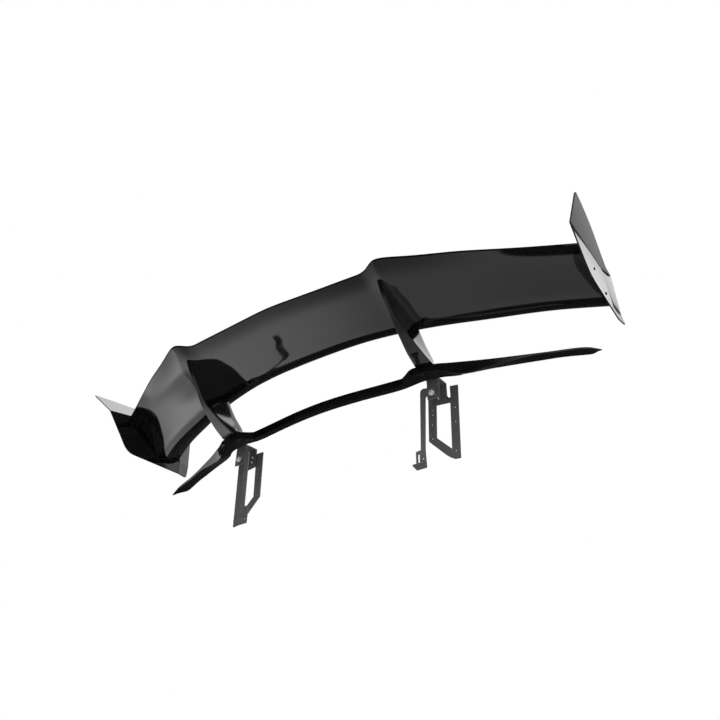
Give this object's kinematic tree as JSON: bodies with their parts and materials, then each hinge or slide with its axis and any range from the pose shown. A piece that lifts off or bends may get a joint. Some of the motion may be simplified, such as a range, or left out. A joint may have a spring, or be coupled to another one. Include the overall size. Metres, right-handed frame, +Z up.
{
  "type": "racing rear wing",
  "caption": "Swept high-level rear wing with canted end plates, raised on slim hollow uprights from a slim deck lip with adjustable under-deck clamp brackets.",
  "frame": {"origin": "centre of the flat underside of the base bridge", "axes": "+X to the right seen from behind, +Y forward, +Z up"},
  "size_m": [1.7592, 0.6638, 0.6149],
  "materials": {
    "gloss_black_shell": "piano gloss black over laminate",
    "black_screws": "black oxide",
    "inner_aluminium": "mill finish",
    "satin_bracket_steel": "satin dark grey powder coat",
    "gasket_rubber": "matt",
    "zinc_fasteners": "bright zinc plate"
  },
  "bodies": {
    "wing_assembly": {"wing_upper_skin": "gloss_black_shell", "wing_lower_skin": "gloss_black_shell", "wing_spar": "inner_aluminium", "wing_stringer": "inner_aluminium", "right_mount_rib": "inner_aluminium", "left_mount_rib": "inner_aluminium", "right_rib_pin_1": "zinc_fasteners", "left_rib_pin_1": "zinc_fasteners", "right_rib_pin_2": "zinc_fasteners", "left_rib_pin_2": "zinc_fasteners", "right_end_rib": "inner_aluminium", "left_end_rib": "inner_aluminium", "right_end_plate": "gloss_black_shell", "left_end_plate": "gloss_black_shell", "right_end_plate_screw_1": "black_screws", "left_end_plate_screw_1": "black_screws", "right_end_plate_screw_2": "black_screws", "left_end_plate_screw_2": "black_screws", "right_upright": "gloss_black_shell", "left_upright": "gloss_black_shell", "right_upright_screw_1": "zinc_fasteners", "left_upright_screw_1": "zinc_fasteners", "right_upright_screw_2": "zinc_fasteners", "left_upright_screw_2": "zinc_fasteners", "right_upright_blade": "zinc_fasteners", "left_upright_blade": "zinc_fasteners", "right_foot_gasket": "gasket_rubber", "left_foot_gasket": "gasket_rubber", "base_bridge": "gloss_black_shell", "right_base_lip": "gloss_black_shell", "left_base_lip": "gloss_black_shell", "right_bracket_channel": "satin_bracket_steel", "left_bracket_channel": "satin_bracket_steel", "right_bracket_frame": "satin_bracket_steel", "left_bracket_frame": "satin_bracket_steel", "right_frame_bolt_1": "zinc_fasteners", "left_frame_bolt_1": "zinc_fasteners", "right_frame_bolt_2": "zinc_fasteners", "left_frame_bolt_2": "zinc_fasteners", "right_pivot_bolt": "zinc_fasteners", "left_pivot_bolt": "zinc_fasteners", "right_pivot_washer": "zinc_fasteners", "left_pivot_washer": "zinc_fasteners", "right_pivot_nut": "zinc_fasteners", "left_pivot_nut": "zinc_fasteners", "right_foot_bolt_1": "zinc_fasteners", "left_foot_bolt_1": "zinc_fasteners", "right_foot_bolt_2": "zinc_fasteners", "left_foot_bolt_2": "zinc_fasteners"},
    "right_stay_arm": {"right_stay": "satin_bracket_steel"},
    "left_stay_arm": {"left_stay": "satin_bracket_steel"}
  },
  "joints": [
    {"name": "right_stay_swing", "type": "hinge", "parent": "wing_assembly", "child": "right_stay_arm", "pos_m": [0.338, 0.05, -0.038], "axis": [0, 0.9744, -0.225], "range_deg": [-10, 10]},
    {"name": "left_stay_swing", "type": "hinge", "parent": "wing_assembly", "child": "left_stay_arm", "pos_m": [-0.338, 0.05, -0.038], "axis": [0, 0.9744, -0.225], "range_deg": [-10, 10]}
  ]
}
